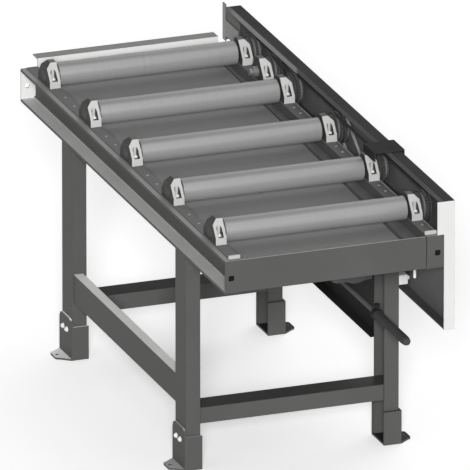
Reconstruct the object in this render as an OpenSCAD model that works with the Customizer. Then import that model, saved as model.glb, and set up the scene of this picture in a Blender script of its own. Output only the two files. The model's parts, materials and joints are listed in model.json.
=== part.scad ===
/* [Frame] */
// Width over the two side rails
frame_w = 565; // [500:5:900]
// Length over the rails' end plates
frame_l = 1485; // [1440:5:2000]
// Height of the rails' top above the floor
bed_z = 644; // [620:1:900]
// Height of a side rail
rail_h = 86; // [80:1:110]
// Width of a side rail
rail_w = 44; // [42:1:60]
// Thickness of a rail's web
rail_web_t = 6; // [4:0.5:8]
// Thickness of a rail's flanges
rail_flange_t = 7; // [5:0.5:9]
// How far the right rail's top flange is cut back for the pulleys
rail_cutback = 14; // [14:1:18]
// Thickness of the front and end plates
end_plate_t = 5; // [3:0.5:8]
// Height of the front plate
front_plate_h = 82; // [76:1:100]
// Radius of the holes in the ends of the frame
end_hole_r = 6.5; // [4:0.5:9]

/* [Rollers] */
// Diameter of a roller's tube
roller_d = 60; // [50:1:64]
// Distance from one roller to the next
roller_pitch = 300; // [220:1:305]
// Distance from the front of the frame to the first roller's axis
first_roller_y = 152; // [120:1:180]
// Height of the rollers' axes above the rails
axis_up = 24; // [24:0.5:28]
// Wall of a roller's tube
roller_wall = 4; // [2:0.5:6]
// Diameter of the rollers' shafts
shaft_d = 18; // [14:1:20]
// Outer diameter of the bearing rings
bearing_d = 30; // [28:1:34]

/* [Bearing blocks] */
// Width of a block across the rail
block_w = 28; // [26:1:28]
// Length of a block's base along the rail
block_l = 88; // [84:1:96]
// Height of a block
block_h = 58; // [54:1:62]
// Length of a block's flat top
block_top_l = 24; // [20:1:30]
// Height of the upright part of a block's flanks
block_foot_h = 18; // [14:1:20]

/* [Drive] */
// Radius of the pulleys' rims
pulley_r = 41; // [38:1:42]
// Height of the gearbox's output shaft below the rails' top
output_drop = 158; // [150:1:165]
// Distance from the front of the frame to the output shaft
output_y = 477; // [470:1:560]
// Radius of the motor's body
motor_r = 48; // [40:1:49]
// Length of the motor
motor_l = 210; // [160:1:300]
// Height of the drive panel under the rail
panel_h = 302; // [260:1:320]
// Width of the drive panel's bottom flange
panel_flange = 25; // [15:1:35]

/* [Guard] */
// Height of the guard's top above the rails' top
guard_up = 85; // [80:1:110]
// Height of the guard's wall
guard_h = 332; // [310:1:360]
// Distance from the frame's side to the guard's outer face
guard_out = 28; // [28:1:40]
// Width of the guard's ends above the rails
guard_top_w = 45; // [40:1:46]
// Width of the guard's top flange
guard_flange_w = 28; // [20:1:34]
// Thickness of the guard's sheet
guard_t = 3; // [2:0.5:3]

/* [Legs and feet] */
// Width of a leg's web along the conveyor
leg_l = 73; // [60:1:90]
// Width of a leg's flanges across the conveyor
leg_w = 38; // [32:1:39]
// Thickness of a leg's wall
leg_t = 4; // [3:0.5:5]
// Distance from the front of the frame to the front legs' middle
front_leg_y = 334; // [300:1:380]
// Distance from the front legs to the rear legs
leg_span = 824; // [760:1:900]
// Height of a foot's flanges
foot_h = 87; // [80:1:100]
// How far a foot's web rises above its flanges
foot_rise = 20; // [12:1:20]
// Reach of a foot's flanges across the conveyor
foot_w = 46; // [42:1:52]
// Thickness of a foot's plate
foot_t = 5; // [4:0.5:7]
// Reach of a foot's anchor tab
tab_out = 33; // [28:1:45]
// Radius of the anchor holes
anchor_r = 4.5; // [3.5:0.5:6]
// How far a foot can be let down
foot_travel = 40; // [20:1:42]
// Height of the cross stretchers
stretcher_h = 41; // [30:1:60]
// Height of the side stretcher
side_stretcher_h = 74; // [50:1:90]

/* [Lever] */
// Height of the lever's rod below the rails' top
lever_drop = 285; // [280:1:330]
// Diameter of the lever's rod
lever_d = 12; // [10:1:16]
// Diameter of the lever's grip
grip_d = 24; // [20:1:30]
// Distance from the front of the frame to the grip's end
grip_y = 46; // [10:1:60]

/* [Hidden] */
$fn = 64;

// Overrun of every cut, and the named clearances
cut = 1;
fit_gap = 0.3;
turn_gap = 0.05;
seat_gap = 0.03;

// Colours of the finishes
frame_grey = [0.40, 0.40, 0.39];
dark_grey = [0.22, 0.22, 0.22];
pale_paint = [0.90, 0.90, 0.89];
cast_grey = [0.74, 0.74, 0.73];
steel = [0.62, 0.62, 0.61];
black = [0.09, 0.09, 0.09];

// Small sizes of the rails, bars and plates
rail_root_r = 5;
bar_t = 3;
bar_left_w = 30;
bar_right_w = 44;
bar_hole_r = 3.5;
bar_hole_pitch = 80;
end_hole_in = 16;
end_hole_drop = 45;
stop_tab_w = 29;
stop_tab_h = 10;
stop_tab_in = 12;
seam_gap = 2;
block_in = 1;
notch_gap = 3;

// Small sizes of the deck
deck_t = 3;
deck_drop = 25;
deck_lip = 25;
deck_split_in = 85;
deck_split_w = 15;
deck_end_gap = 2;
joist_l = 30;
joist_h = 14;
joist_count = 3;

// Small sizes of the rear cross plate
cross_t = 4;
cross_up = 23;
cross_flange = 32;
cross_tab_l = 40;
cross_tab_h = 24;
cross_edge = 4;

// Small sizes of the blocks
pocket_r = 7;
pocket_y = 30;
screw_head_r = 5.5;
screw_head_h = 6;
screw_r = 4;
screw_gap = 0.2;
block_chamfer = 12;
bearing_w = 20;
shaft_past = 3;

// Small sizes of the rollers and pulleys
tube_end_gap = 5;
disc_t = 8;
disc_in = 3;
row_w = 10;
rim_t = 1.5;
row_gap = 2;
groove_r = 34;
belt_t = 4;
hub_r = 18;
spacer_r = 13;
pulley_side_gap = 3;
collar_r = 14;
collar_l = 12;
jack_in = 22;

// Small sizes of the drive
panel_t = 3;
panel_in = 24;
box_l = 105;
box_w = 100;
box_over = 50;
box_under = 50;
worm_drop = 50;
cover_r = 48;
cover_l = 20;
box_edge = 8;
output_r = 12;
output_boss_r = 30;
output_boss_l = 8;
motor_flange_t = 8;
motor_core_share = 0.88;
fin_count = 24;
fin_t = 3;
hood_l = 30;
terminal_l = 80;
terminal_w = 60;
terminal_h = 22;

// Small sizes of the guard
guard_lip_w = 27;
cap_t = 3;
rear_post_l = 21;
rear_post_up = 96;
rear_band_low = 14;
rear_band_h = 42;
rear_band_l = 92;
guard_edge_h = 14;
rear_edge_y = 1030;
saddle_y = 376;
saddle_l = 76;
saddle_out = 10;
saddle_w = 79;
saddle_drop = 95;
saddle_lip = 20;
standoff_h = 24;
standoff_l = 24;
standoff_z = 412;
rail_standoff_y = 110;
rail_standoff_r = 8;
stud_r = 3.5;
stud_drop = 67;
stud_y = 130;
stud_in = 17;
stud_nut_r = 7;
stud_nut_h = 6;

// Small sizes of the legs and feet
foot_side_gap = 2.5;
tab_tip_share = 0.54;
tab_corner_r = 8;
anchor_in = 11;
foot_bolt_z = 74;
foot_bolt_y = 14;
foot_bolt_r = 4;
foot_bolt_head_r = 6;
foot_bolt_head_h = 7;
foot_nut_r = 7;
foot_nut_h = 6;
stretcher_z = 115;
stretcher_t = 3;
side_stretcher_z = 150;
side_stretcher_w = 25;

// Small sizes of the lever
lever_in = 77;
lever_pivot_y = 620;
lever_pin_r = 7;
lever_boss_r = 15;
lever_boss_w = 20;
bracket_l = 50;
bracket_t = 8;
grip_l = 205;
collar_d = 28;
lever_collar_l = 16;
thumb_r = 4;
thumb_l = 12;
pin_head_r = 11;
pin_head_t = 4;

// Places worked out from the sizes above
roller_count = 5;
guard_x = frame_w + guard_out;
x_low = -tab_out;
x_high = guard_x + saddle_out;
y_low = 0;
y_high = frame_l + cross_flange;
mid_x = (x_low + x_high) / 2;
mid_y = (y_low + y_high) / 2;
rail_low = bed_z - rail_h;
web_left = rail_w;
web_right = frame_w - rail_w;
bar_z = bed_z + bar_t;
axis_z = bed_z + axis_up;
shaft_r = shaft_d / 2;
bearing_r = bearing_d / 2;
block_left_x = web_left - block_in - block_w;
block_right_x = web_right + block_in;
tube_x = web_left - block_in + tube_end_gap;
tube_l = web_right + block_in - tube_end_gap - tube_x;
drive_x = frame_w - rail_cutback + pulley_side_gap;
row_pitch = row_w + row_gap;
spacer_x = block_right_x + block_w + fit_gap;
jack_y = roller_y(roller_count) - roller_pitch / 2;
deck_z = bed_z - deck_drop;
split_x = web_right - deck_split_in;
leg_x = foot_t + fit_gap;
leg_z = foot_t + fit_gap;
foot_l = leg_l + 2 * (foot_side_gap + foot_t);
rear_leg_y = front_leg_y + leg_span;
leg_back = front_leg_y + leg_l / 2;
leg_next = rear_leg_y - leg_l / 2;
panel_x = frame_w - panel_in - panel_t;
output_z = bed_z - output_drop;
worm_z = output_z - worm_drop;
worm_x = panel_x - box_w / 2;
box_y = output_y - box_l / 2;
motor_y = box_y + box_l;
guard_z = bed_z + guard_up - guard_h;
guard_top = bed_z + guard_up;
lever_x = frame_w - lever_in;
lever_z = bed_z - lever_drop;

function roller_y(i) = first_roller_y + (i - 1) * roller_pitch;

// Moves a piece from the frame's corner to the middle of the footprint
module placed() translate([-mid_x, -mid_y, 0]) children();

// A round bar along the rollers, from its left end
module bar_x(r, l) rotate([0, 90, 0]) cylinder(r = r, h = l);

// A round bar along the conveyor, from its front end
module bar_y(r, l) rotate([-90, 0, 0]) cylinder(r = r, h = l);

// An outline of Y and Z drawn out along X
module across(l) rotate([90, 0, 90]) linear_extrude(l) children();

// An outline of X and Z drawn out along Y
module along(l) translate([0, l, 0]) rotate([90, 0, 0]) linear_extrude(l) children();

// Mirrors a left-hand piece to the right-hand side
module right_side() translate([frame_w, 0, 0]) mirror([1, 0, 0]) children();

// Channel open to the left, its web's inner face at the rail's width
module rail_outline(top_cut) {
    difference() {
        square([rail_w, rail_h]);
        translate([-cut, rail_flange_t])
            square([rail_w - rail_web_t - rail_root_r + cut, rail_h - 2 * rail_flange_t]);
        translate([-cut, rail_flange_t + rail_root_r])
            square([rail_w - rail_web_t + cut, rail_h - 2 * (rail_flange_t + rail_root_r)]);
        for (z = [rail_flange_t + rail_root_r, rail_h - rail_flange_t - rail_root_r])
            translate([rail_w - rail_web_t - rail_root_r, z]) circle(rail_root_r);
        translate([-cut, rail_h - rail_flange_t - cut])
            square([top_cut + cut, rail_flange_t + 2 * cut]);
    }
}

module left_rail() color(frame_grey) placed()
    translate([0, end_plate_t, rail_low])
        along(frame_l - end_plate_t) rail_outline(0);

module right_rail() color(frame_grey) placed()
    right_side() translate([0, end_plate_t, rail_low])
        along(frame_l - end_plate_t) rail_outline(rail_cutback);

// Middles of the gaps between blocks, where the bars have their holes
function gap_y(i) = roller_y(i) + roller_pitch / 2;

module bar_holes(x, gaps) {
    for (i = gaps, s = [-1, 1])
        translate([x, gap_y(i) + s * bar_hole_pitch / 2, bed_z - cut])
            cylinder(r = bar_hole_r, h = bar_t + 2 * cut);
}

module screw_holes(x, y) {
    for (s = [-1, 1])
        translate([x, y + s * pocket_y, bed_z - cut])
            cylinder(r = screw_r + screw_gap, h = bar_t + block_h);
}

// Room in the right bar's inner edge for the end of a roller's tube
module bar_notch(y) {
    half = sqrt(pow(roller_d / 2, 2) - pow(axis_up - bar_t, 2)) + notch_gap;
    x = block_right_x + block_w - bar_right_w - cut;
    translate([x, y - half, bed_z - cut])
        cube([tube_x + tube_l + turn_gap - x, 2 * half, bar_t + 2 * cut]);
}

module mounting_bars() color(dark_grey) placed() {
    bar_l = frame_l - 2 * end_plate_t;
    difference() {
        translate([web_left - bar_left_w, end_plate_t, bed_z]) cube([bar_left_w, bar_l, bar_t]);
        bar_holes(block_left_x + block_w / 2, [1:roller_count - 1]);
        for (i = [1:roller_count]) screw_holes(block_left_x + block_w / 2, roller_y(i));
    }
    difference() {
        translate([block_right_x + block_w - bar_right_w, end_plate_t, bed_z])
            cube([bar_right_w, bar_l, bar_t]);
        bar_holes(block_right_x + block_w / 2, [1:roller_count - 2]);
        for (i = [1:roller_count]) {
            screw_holes(block_right_x + block_w / 2, roller_y(i));
            bar_notch(roller_y(i));
        }
        screw_holes(block_right_x + block_w / 2, jack_y);
    }
}

module end_hole(x, y)
    translate([x, y - cut, bed_z - end_hole_drop]) bar_y(end_hole_r, end_plate_t + 2 * cut);

module front_plate() color(frame_grey) placed() {
    difference() {
        union() {
            translate([0, 0, bed_z - front_plate_h])
                cube([web_right - seam_gap, end_plate_t, front_plate_h]);
            for (x = [stop_tab_in, web_right - seam_gap - stop_tab_w])
                translate([x, 0, bed_z - cut]) cube([stop_tab_w, end_plate_t, stop_tab_h + cut]);
        }
        end_hole(end_hole_in, 0);
    }
}

module front_end_plate() color(frame_grey) placed() {
    difference() {
        translate([web_right, 0, bed_z - front_plate_h]) cube([rail_w, end_plate_t, front_plate_h]);
        end_hole(frame_w - end_hole_in, 0);
    }
}

module rear_end_plate() {
    difference() {
        translate([0, frame_l - end_plate_t, rail_low + rail_flange_t + fit_gap])
            cube([rail_w - rail_web_t - fit_gap, end_plate_t, rail_h - 2 * (rail_flange_t + fit_gap)]);
        end_hole(end_hole_in, frame_l - end_plate_t);
        for (z = [rail_low + rail_flange_t, bed_z - rail_flange_t])
            translate([rail_w - rail_web_t, frame_l - end_plate_t - cut, z])
                bar_y(rail_root_r, end_plate_t + 2 * cut);
    }
}

module rear_end_plates() color(pale_paint) placed() {
    rear_end_plate();
    right_side() rear_end_plate();
}

module rear_cross_plate() color(pale_paint) placed() {
    low = rail_low + cross_edge;
    translate([web_left, frame_l - cross_t, low])
        cube([web_right - web_left, cross_t, bed_z + cross_up - low]);
    translate([web_left, frame_l - cross_t, bed_z + cross_up - cross_t])
        cube([web_right - web_left, cross_t + cross_flange, cross_t]);
    for (x = [web_left, web_right - cross_t])
        translate([x, frame_l - cross_t - cross_tab_l, low])
            cube([cross_t, cross_tab_l + cut, cross_tab_h]);
}

// A sheet with both edges folded down
module folded_sheet(w) {
    difference() {
        translate([0, -deck_lip]) square([w, deck_lip]);
        translate([deck_t, -deck_lip - cut]) square([w - 2 * deck_t, deck_lip + cut - deck_t]);
    }
}

module deck_sheet() color(frame_grey) placed()
    translate([web_left, end_plate_t, deck_z])
        along(frame_l - end_plate_t - cross_t - deck_end_gap) folded_sheet(split_x - web_left);

module side_deck_sheet() color(frame_grey) placed()
    translate([split_x + deck_split_w, end_plate_t, deck_z])
        along(frame_l - end_plate_t - cross_t - deck_end_gap)
            folded_sheet(web_right - split_x - deck_split_w);

module deck_joists() color(dark_grey) placed() {
    for (i = [1:joist_count])
        translate([web_left, frame_l * i / (joist_count + 1), deck_z - deck_lip - joist_h])
            cube([web_right - web_left, joist_l, joist_h]);
}

// Leg at the front left, its middle at the given distance from the front
module leg(y) {
    h = rail_low - leg_z;
    difference() {
        translate([leg_x, y - leg_l / 2, leg_z]) cube([leg_w, leg_l, h]);
        translate([leg_x + leg_t, y - leg_l / 2 + leg_t, leg_z - cut])
            cube([leg_w, leg_l - 2 * leg_t, h + 2 * cut]);
        for (s = [-1, 1]) {
            slot_r = foot_bolt_r + fit_gap;
            translate([leg_x - cut, y + s * foot_bolt_y, foot_bolt_z]) {
                bar_x(slot_r, leg_t + 2 * cut);
                translate([0, 0, -foot_travel]) bar_x(slot_r, leg_t + 2 * cut);
                translate([0, -slot_r, -foot_travel]) cube([leg_t + 2 * cut, 2 * slot_r, foot_travel]);
            }
        }
    }
}

module leg_front_left() color(frame_grey) placed() leg(front_leg_y);
module leg_rear_left() color(frame_grey) placed() leg(rear_leg_y);
module leg_front_right() color(frame_grey) placed() right_side() leg(front_leg_y);
module leg_rear_right() color(frame_grey) placed() right_side() leg(rear_leg_y);

module cross_stretcher(y) {
    x = leg_x + leg_t;
    d = leg_l - 2 * leg_t;
    difference() {
        translate([x, y - d / 2, stretcher_z]) cube([frame_w - 2 * x, d, stretcher_h]);
        translate([x - cut, y - d / 2 + stretcher_t, stretcher_z - cut])
            cube([frame_w - 2 * x + 2 * cut, d - 2 * stretcher_t, stretcher_h + cut - stretcher_t]);
    }
}

module front_stretcher() color(frame_grey) placed() cross_stretcher(front_leg_y);
module rear_stretcher() color(frame_grey) placed() cross_stretcher(rear_leg_y);

module side_stretcher() color(frame_grey) placed() {
    l = leg_next - leg_back;
    difference() {
        translate([leg_x + leg_t, leg_back, side_stretcher_z])
            cube([side_stretcher_w, l, side_stretcher_h]);
        translate([leg_x + leg_t + stretcher_t, leg_back - cut, side_stretcher_z + stretcher_t])
            cube([side_stretcher_w, l + 2 * cut, side_stretcher_h - 2 * stretcher_t]);
    }
}

// Outline of a foot's web that rises above the flanges, with its two top corners rounded
module foot_web_outline() {
    r = foot_rise;
    translate([-foot_l / 2, 0]) square([foot_l, foot_h]);
    translate([r - foot_l / 2, 0]) square([foot_l - 2 * r, foot_h + r]);
    for (s = [-1, 1]) translate([s * (foot_l / 2 - r), foot_h]) circle(r);
}

// Outline of the base plate, with the tab tapered outwards
module foot_base_outline() {
    tip = foot_l * tab_tip_share / 2;
    r = tab_corner_r;
    translate([0, -foot_l / 2]) square([foot_w, foot_l]);
    polygon([[0, -foot_l / 2], [r - tab_out, -tip], [r - tab_out, tip], [0, foot_l / 2]]);
    translate([-tab_out, r - tip]) square([tab_out, 2 * (tip - r)]);
    for (s = [-1, 1]) translate([r - tab_out, s * (tip - r)]) circle(r);
}

module foot(y, raised) {
    translate([0, y, 0]) difference() {
        union() {
            if (raised) across(foot_t) foot_web_outline();
            translate([0, -foot_l / 2, 0]) cube([foot_t, foot_l, foot_h]);
            for (s = [-1, 1])
                translate([0, s * (foot_l - foot_t) / 2 - foot_t / 2, 0]) cube([foot_w, foot_t, foot_h]);
            linear_extrude(foot_t) foot_base_outline();
        }
        translate([anchor_in - tab_out, 0, -cut]) cylinder(r = anchor_r, h = foot_t + 2 * cut);
        for (s = [-1, 1])
            translate([-cut, s * foot_bolt_y, foot_bolt_z])
                bar_x(foot_bolt_r + screw_gap, foot_t + 2 * cut);
    }
}

module foot_bolts(y) {
    for (s = [-1, 1]) translate([0, y + s * foot_bolt_y, foot_bolt_z]) {
        translate([-foot_bolt_head_h, 0, 0]) {
            bar_x(foot_bolt_head_r, foot_bolt_head_h);
            bar_x(foot_bolt_r, foot_bolt_head_h + leg_x + leg_t + fit_gap + foot_nut_h);
        }
        translate([leg_x + leg_t + fit_gap, 0, 0]) rotate([0, 90, 0])
            cylinder(r = foot_nut_r, h = foot_nut_h, $fn = 6);
    }
}

module foot_front_left() color(frame_grey) placed() foot(front_leg_y, true);
module foot_rear_left() color(frame_grey) placed() foot(rear_leg_y, true);
module foot_front_right() color(frame_grey) placed() right_side() foot(front_leg_y, false);
module foot_rear_right() color(frame_grey) placed() right_side() foot(rear_leg_y, false);
module bolts_front_left() color(steel) placed() foot_bolts(front_leg_y);
module bolts_rear_left() color(steel) placed() foot_bolts(rear_leg_y);
module bolts_front_right() color(steel) placed() right_side() foot_bolts(front_leg_y);
module bolts_rear_right() color(steel) placed() right_side() foot_bolts(rear_leg_y);

// Side outline of a bearing block, upright below and leaning in above
module block_outline() {
    polygon([[-block_l / 2, 0], [-block_l / 2, block_foot_h], [-block_top_l / 2, block_h],
        [block_top_l / 2, block_h], [block_l / 2, block_foot_h], [block_l / 2, 0]]);
}

// Right-hand block: its outer top edge is chamfered
module block(y) {
    translate([block_right_x, y, bar_z]) difference() {
        across(block_w) block_outline();
        translate([-cut, 0, axis_z - bar_z]) bar_x(bearing_r, block_w + 2 * cut);
        translate([block_w - block_chamfer, -block_l / 2, block_h]) rotate([0, 45, 0])
            cube([2 * block_chamfer, block_l, block_chamfer]);
        for (s = [-1, 1]) {
            translate([block_w / 2, s * pocket_y, block_foot_h]) cylinder(r = pocket_r, h = block_h);
            translate([block_w / 2 - pocket_r, s > 0 ? pocket_y : -block_l, block_foot_h])
                cube([2 * pocket_r, block_l - pocket_y, block_h]);
            translate([block_w / 2, s * pocket_y, -cut])
                cylinder(r = screw_r + screw_gap, h = block_h);
        }
    }
}

module left_blocks() color(cast_grey) placed() {
    for (i = [1:roller_count]) right_side() block(roller_y(i));
}

module right_blocks() color(cast_grey) placed() {
    for (i = [1:roller_count]) block(roller_y(i));
    block(jack_y);
}

module bearing_ring(x, y) {
    translate([x + (block_w - bearing_w) / 2, y, axis_z]) difference() {
        bar_x(bearing_r - seat_gap, bearing_w);
        translate([-cut, 0, 0]) bar_x(shaft_r + turn_gap, bearing_w + 2 * cut);
    }
}

module bearing_rings() color(steel) placed() {
    for (i = [1:roller_count], x = [block_left_x, block_right_x]) bearing_ring(x, roller_y(i));
    bearing_ring(block_right_x, jack_y);
}

module screw_pair(x, y) {
    for (s = [-1, 1]) translate([x + block_w / 2, y + s * pocket_y, bed_z]) {
        cylinder(r = screw_r, h = bar_t + block_foot_h + screw_head_h);
        translate([0, 0, bar_t + block_foot_h]) cylinder(r = screw_head_r, h = screw_head_h);
    }
}

module block_screws() color(steel) placed() {
    for (i = [1:roller_count], x = [block_left_x, block_right_x]) screw_pair(x, roller_y(i));
    screw_pair(block_right_x, jack_y);
}

// Tube with an end disc in each end, turned about its axis
module roller_tube(i) {
    disc_x = tube_l / 2 - disc_in - disc_t;
    bore_r = shaft_r + seat_gap;
    tube_in_r = roller_d / 2 - roller_wall;
    translate([tube_x + tube_l / 2, roller_y(i), axis_z]) rotate([0, 90, 0]) rotate_extrude() {
        translate([tube_in_r, -tube_l / 2]) square([roller_wall, tube_l]);
        for (x = [-disc_x - disc_t, disc_x])
            translate([bore_r, x]) square([tube_in_r - bore_r + cut, disc_t]);
    }
}

module roller_tube_1() color(steel) placed() roller_tube(1);
module roller_tube_2() color(steel) placed() roller_tube(2);
module roller_tube_3() color(steel) placed() roller_tube(3);
module roller_tube_4() color(steel) placed() roller_tube(4);
module roller_tube_5() color(steel) placed() roller_tube(5);

module roller_shaft(i, rows) {
    x = block_left_x - shaft_past;
    end_x = drive_x + rows * row_pitch - row_gap + cut;
    translate([x, roller_y(i), axis_z]) bar_x(shaft_r, end_x - x);
}

module roller_shaft_1() color(steel) placed() roller_shaft(1, 2);
module roller_shaft_2() color(steel) placed() roller_shaft(2, 2);
module roller_shaft_3() color(steel) placed() roller_shaft(3, 3);
module roller_shaft_4() color(steel) placed() roller_shaft(4, 2);
module roller_shaft_5() color(steel) placed() roller_shaft(5, 2);

// Pulleys turned in one piece: rim, groove and rim for each row, joined by a hub
module pulley_set(first_row, last_row, hub_from) {
    bore_r = shaft_r + seat_gap;
    hub_to = drive_x + last_row * row_pitch - row_gap;
    rotate([0, 90, 0]) rotate_extrude() {
        translate([bore_r, hub_from]) square([spacer_r - bore_r, hub_to - hub_from]);
        translate([bore_r, drive_x + (first_row - 1) * row_pitch])
            square([hub_r - bore_r, hub_to - drive_x - (first_row - 1) * row_pitch]);
        for (row = [first_row:last_row]) translate([0, drive_x + (row - 1) * row_pitch]) {
            translate([bore_r, 0]) square([groove_r - bore_r, row_w]);
            for (x = [0, row_w - rim_t]) translate([bore_r, x]) square([pulley_r - bore_r, rim_t]);
        }
    }
}

module roller_pulleys(i, rows)
    translate([0, roller_y(i), axis_z]) pulley_set(1, rows, spacer_x);

module pulleys_1() color(black) placed() roller_pulleys(1, 2);
module pulleys_2() color(black) placed() roller_pulleys(2, 2);
module pulleys_3() color(black) placed() roller_pulleys(3, 3);
module pulleys_4() color(black) placed() roller_pulleys(4, 2);
module pulleys_5() color(black) placed() roller_pulleys(5, 2);

module jack_shaft() color(steel) placed() translate([0, jack_y, axis_z]) {
    x = block_right_x - jack_in;
    translate([x, 0, 0]) bar_x(shaft_r, drive_x + 2 * row_pitch - row_gap + cut - x);
    translate([block_right_x - fit_gap - collar_l, 0, 0]) bar_x(collar_r, collar_l);
}

module jack_pulleys() color(black) placed()
    translate([0, jack_y, axis_z]) pulley_set(1, 2, spacer_x);

// Ring of a flat belt round two equal pulleys, l apart along Y
module loop_outline(l, r) {
    circle(r);
    translate([l, 0]) circle(r);
    translate([0, -r]) square([l, 2 * r]);
}

module belt(row, l) {
    belt_r = groove_r + fit_gap;
    x = drive_x + (row - 1) * row_pitch + rim_t + fit_gap;
    translate([x, 0, 0]) across(row_w - 2 * (rim_t + fit_gap)) difference() {
        loop_outline(l, belt_r + belt_t);
        loop_outline(l, belt_r);
    }
}

module roller_belts() color(black) placed() {
    for (i = [1:roller_count - 2])
        translate([0, roller_y(i), axis_z]) belt(i % 2 == 1 ? 2 : 1, roller_pitch);
    translate([0, roller_y(roller_count - 1), axis_z]) belt(1, roller_pitch / 2);
    translate([0, jack_y, axis_z]) belt(2, roller_pitch / 2);
}

module motor_belt() color(steel) placed() {
    dy = roller_y(3) - output_y;
    dz = axis_z - output_z;
    translate([0, output_y, output_z]) rotate([atan2(dz, dy), 0, 0]) belt(3, norm([dy, dz]));
}

module drive_panel() color(dark_grey) placed() {
    l = leg_next - leg_back;
    difference() {
        union() {
            translate([panel_x, leg_back, rail_low - panel_h]) cube([panel_t, l, panel_h]);
            translate([panel_x - panel_flange, leg_back, rail_low - panel_h])
                cube([panel_flange + panel_t, l, panel_t]);
        }
        translate([panel_x - cut, output_y, output_z]) bar_x(output_boss_r + fit_gap, panel_t + 2 * cut);
    }
}

// Housing with the output boss on its right and a round cover in front
module gearbox() color(dark_grey) placed() {
    low = worm_z - box_under;
    translate([0, 0, low]) linear_extrude(box_over + box_under + worm_drop)
        polygon([[panel_x - box_w, box_y + box_edge], [panel_x - box_w + box_edge, box_y],
            [panel_x, box_y], [panel_x, box_y + box_l], [panel_x - box_w + box_edge, box_y + box_l],
            [panel_x - box_w, box_y + box_l - box_edge]]);
    translate([worm_x, box_y - cover_l, worm_z]) bar_y(cover_r, cover_l + box_edge);
    translate([panel_x - box_edge, output_y, output_z]) bar_x(output_boss_r, output_boss_l + box_edge);
}

module motor() color(dark_grey) placed() translate([worm_x, motor_y, worm_z]) {
    core_r = motor_r * motor_core_share;
    bar_y(motor_r, motor_flange_t);
    bar_y(core_r, motor_l);
    for (i = [1:fin_count]) rotate([0, i * 360 / fin_count, 0])
        translate([-fin_t / 2, 0, 0]) cube([fin_t, motor_l - hood_l, motor_r - (motor_r - core_r) / 2]);
    translate([0, motor_l - hood_l, 0]) bar_y(motor_r, hood_l);
    translate([-motor_r - terminal_h / 2, motor_flange_t + hood_l, -terminal_w / 2])
        cube([motor_r + terminal_h / 2, terminal_l, terminal_w]);
}

// Output shaft and pulley in one piece
module motor_pulley() color(black) placed() translate([0, output_y, output_z]) {
    x = panel_x + output_boss_l + fit_gap;
    translate([x, 0, 0]) bar_x(output_r, drive_x + 3 * row_pitch - row_gap - x);
    pulley_set(3, 3, drive_x + row_pitch);
}

module guard() color(dark_grey) placed() translate([0, cap_t, 0]) {
    l = frame_l + cross_flange - 2 * cap_t;
    translate([guard_x - guard_t, 0, guard_z]) cube([guard_t, l, guard_h]);
    translate([guard_x - guard_flange_w, 0, guard_top - guard_t]) cube([guard_flange_w, l, guard_t]);
    translate([guard_x - guard_flange_w, 0, guard_top - guard_edge_h]) cube([guard_t, l, guard_edge_h]);
    translate([guard_x - guard_lip_w, 0, guard_z]) cube([guard_lip_w, l, guard_t]);
}

// Outline of the guard's ends: wide above the rails, narrow beside them
module cap_outline() {
    side = frame_w + fit_gap;
    polygon([[side, guard_z], [guard_x, guard_z], [guard_x, guard_top],
        [guard_x - guard_top_w, guard_top], [guard_x - guard_top_w, bed_z + fit_gap],
        [side, bed_z + fit_gap]]);
}

module guard_front_cap() color(pale_paint) placed() along(cap_t) cap_outline();

module guard_rear_plate() color(pale_paint) placed() {
    back = frame_l + cross_flange;
    translate([0, back - cap_t, 0]) along(cap_t) cap_outline();
    translate([guard_x - guard_top_w - cap_t, back, bar_z]) across(cap_t) {
        translate([-rear_post_l, 0]) square([rear_post_l, rear_post_up]);
        translate([-rear_band_l - rear_post_l, rear_band_low]) square([rear_band_l + cut, rear_band_h]);
    }
    translate([guard_x - guard_top_w - cap_t, back - cap_t, bar_z])
        cube([2 * cap_t, cap_t, guard_up - bar_t]);
    translate([guard_x - guard_flange_w - cap_t, rear_edge_y, guard_top - guard_edge_h])
        cube([cap_t, back - rear_edge_y, guard_edge_h]);
}

module guard_saddle() color(black) placed() {
    x = guard_x + saddle_out - saddle_w;
    translate([x, saddle_y, guard_top]) cube([saddle_w, saddle_l, guard_t]);
    translate([x, saddle_y, guard_top - saddle_lip]) cube([guard_t, saddle_l, saddle_lip + cut]);
    translate([guard_x + saddle_out - guard_t, saddle_y, guard_top - saddle_drop])
        cube([guard_t, saddle_l, saddle_drop + cut]);
    translate([guard_x, saddle_y, guard_top - saddle_drop]) cube([saddle_out, saddle_l, guard_t]);
}

module guard_standoffs() color(pale_paint) placed() {
    leg_side = frame_w - leg_x;
    for (y = [front_leg_y - leg_l / 2, rear_leg_y + leg_l / 2 - standoff_l])
        translate([leg_side, y, standoff_z]) cube([guard_x - guard_t - leg_side, standoff_l, standoff_h]);
    web = web_right + rail_web_t;
    for (y = [rail_standoff_y, frame_l - rail_standoff_y])
        translate([web, y, bed_z - end_hole_drop]) bar_x(rail_standoff_r, guard_x - guard_t - web);
    translate([web_right + stud_in, stud_y, rail_low - stud_drop]) {
        cylinder(r = stud_r, h = stud_drop);
        translate([0, 0, stud_drop - stud_nut_h]) cylinder(r = stud_nut_r, h = stud_nut_h, $fn = 6);
    }
}

module lever_bracket() color(dark_grey) placed() {
    translate([panel_x - bracket_t, lever_pivot_y - bracket_l / 2, lever_z - bracket_l / 2])
        cube([bracket_t, bracket_l, bracket_l]);
    pin_x = lever_x - lever_boss_w / 2 - fit_gap - pin_head_t;
    translate([pin_x, lever_pivot_y, lever_z]) {
        bar_x(lever_pin_r, panel_x - pin_x);
        bar_x(pin_head_r, pin_head_t);
    }
}

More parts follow.
